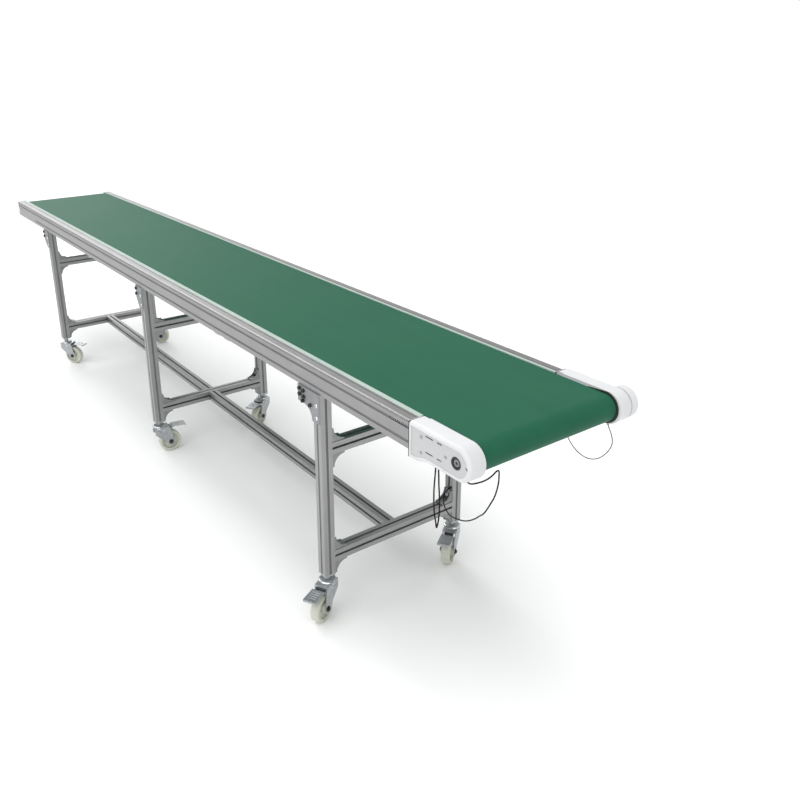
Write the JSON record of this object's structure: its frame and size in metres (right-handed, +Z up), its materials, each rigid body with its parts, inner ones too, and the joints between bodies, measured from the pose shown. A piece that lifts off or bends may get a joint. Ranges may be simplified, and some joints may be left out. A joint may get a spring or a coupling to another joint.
{
  "type": "mobile belt conveyor",
  "caption": "Mobile flat-belt conveyor: green belt in a slotted aluminium frame with rounded white end housings, on H-shaped stands with braked swivel castors.",
  "frame": {"origin": "on the floor under the middle of the machine", "axes": "+X along the belt towards the drive end, +Y to the left side, +Z up"},
  "size_m": [4.125, 0.7728, 0.887],
  "materials": {
    "anodised_profile": "natural anodised extrusion",
    "anodised_block": "machined and anodised",
    "die_cast": "die-cast, blasted",
    "belt": "green PVC conveyor belting, fine matt structure",
    "guide_plastic": "natural polyethylene",
    "white_plastic": "white moulded polyamide, satin",
    "dark_rubber": "black",
    "dark_bearing": "black bearing seat",
    "roller_steel": "turned and zinc plated",
    "sheet_steel": "zinc plated sheet",
    "zinc_steel": "bright zinc plated pressings",
    "pedal_steel": "zinc plated lever",
    "nylon": "natural nylon, slightly greenish grey",
    "black_cable": "black PVC cable",
    "grey_cable": "grey PVC cable"
  },
  "bodies": {
    "root": {"conveyor_belt": "belt", "guide_strips": "guide_plastic", "end_gaskets": "dark_rubber", "tension_spindles": "zinc_steel", "return_rollers": "roller_steel", "return_roller_brackets": "zinc_steel", "slider_bed": "sheet_steel", "drive_bed_plate": "sheet_steel", "tail_bed_plate": "sheet_steel", "bed_cross_ties": "anodised_profile", "motor_cap": "white_plastic", "drive_roller": "roller_steel", "tail_roller": "roller_steel", "side_rail_right": "anodised_profile", "tail_block_right": "anodised_block", "drive_housing_right": "white_plastic", "housing_cover_right": "white_plastic", "shaft_bearing_right": "dark_bearing", "side_rail_left": "anodised_profile", "tail_block_left": "anodised_block", "drive_housing_left": "white_plastic", "housing_cover_left": "white_plastic", "shaft_bearing_left": "dark_bearing", "leg_drive_right": "anodised_profile", "leg_drive_left": "anodised_profile", "corner_gussets_drive": "die_cast", "leg_mid_right": "anodised_profile", "leg_mid_left": "anodised_profile", "corner_gussets_mid": "die_cast", "leg_tail_right": "anodised_profile", "leg_tail_left": "anodised_profile", "corner_gussets_tail": "die_cast", "upper_crossbars": "anodised_profile", "lower_crossbars": "anodised_profile", "leg_head_brackets": "anodised_block", "castor_stems": "zinc_steel", "stringer_drive": "anodised_profile", "stringer_tail": "anodised_profile", "cable_loop_right": "black_cable", "slack_cable": "black_cable", "cable_loop_left": "grey_cable"},
    "castor_drive_right": {"castor_fork_drive_right": "zinc_steel", "brake_pedal_drive_right": "pedal_steel"},
    "wheel_drive_right": {"castor_wheel_drive_right": "nylon"},
    "castor_drive_left": {"castor_fork_drive_left": "zinc_steel", "brake_pedal_drive_left": "pedal_steel"},
    "wheel_drive_left": {"castor_wheel_drive_left": "nylon"},
    "castor_mid_right": {"castor_fork_mid_right": "zinc_steel", "brake_pedal_mid_right": "pedal_steel"},
    "wheel_mid_right": {"castor_wheel_mid_right": "nylon"},
    "castor_mid_left": {"castor_fork_mid_left": "zinc_steel", "brake_pedal_mid_left": "pedal_steel"},
    "wheel_mid_left": {"castor_wheel_mid_left": "nylon"},
    "castor_tail_right": {"castor_fork_tail_right": "zinc_steel", "brake_pedal_tail_right": "pedal_steel"},
    "wheel_tail_right": {"castor_wheel_tail_right": "nylon"},
    "castor_tail_left": {"castor_fork_tail_left": "zinc_steel", "brake_pedal_tail_left": "pedal_steel"},
    "wheel_tail_left": {"castor_wheel_tail_left": "nylon"}
  },
  "joints": [
    {"name": "castor_swivel_drive_right", "type": "hinge", "parent": "root", "child": "castor_drive_right", "pos_m": [1.382, -0.27, 0.1274], "axis": [0, 0, 1], "continuous": true},
    {"name": "wheel_spin_drive_right", "type": "hinge", "parent": "castor_drive_right", "child": "wheel_drive_right", "pos_m": [1.40107, -0.30742, 0.05], "axis": [0.891, 0.454, 0], "continuous": true},
    {"name": "castor_swivel_drive_left", "type": "hinge", "parent": "root", "child": "castor_drive_left", "pos_m": [1.382, 0.27, 0.1274], "axis": [0, 0, 1], "continuous": true},
    {"name": "wheel_spin_drive_left", "type": "hinge", "parent": "castor_drive_left", "child": "wheel_drive_left", "pos_m": [1.40549, 0.23518, 0.05], "axis": [0.829, 0.5592, 0], "continuous": true},
    {"name": "castor_swivel_mid_right", "type": "hinge", "parent": "root", "child": "castor_mid_right", "pos_m": [-0.038, -0.27, 0.1274], "axis": [0, 0, 1], "continuous": true},
    {"name": "wheel_spin_mid_right", "type": "hinge", "parent": "castor_mid_right", "child": "wheel_mid_right", "pos_m": [-0.03288, -0.22831, 0.05], "axis": [-0.9925, 0.1219, 0], "continuous": true},
    {"name": "castor_swivel_mid_left", "type": "hinge", "parent": "root", "child": "castor_mid_left", "pos_m": [-0.038, 0.27, 0.1274], "axis": [0, 0, 1], "continuous": true},
    {"name": "wheel_spin_mid_left", "type": "hinge", "parent": "castor_mid_left", "child": "wheel_mid_left", "pos_m": [-0.017, 0.23363, 0.05], "axis": [0.866, 0.5, 0], "continuous": true},
    {"name": "castor_swivel_tail_right", "type": "hinge", "parent": "root", "child": "castor_tail_right", "pos_m": [-1.458, -0.27, 0.1274], "axis": [0, 0, 1], "continuous": true},
    {"name": "wheel_spin_tail_right", "type": "hinge", "parent": "castor_tail_right", "child": "wheel_tail_right", "pos_m": [-1.42583, -0.243, 0.05], "axis": [-0.6428, 0.766, 0], "continuous": true},
    {"name": "castor_swivel_tail_left", "type": "hinge", "parent": "root", "child": "castor_tail_left", "pos_m": [-1.458, 0.27, 0.1274], "axis": [0, 0, 1], "continuous": true},
    {"name": "wheel_spin_tail_left", "type": "hinge", "parent": "castor_tail_left", "child": "wheel_tail_left", "pos_m": [-1.44092, 0.30837, 0.05], "axis": [-0.9135, 0.4067, 0], "continuous": true}
  ]
}
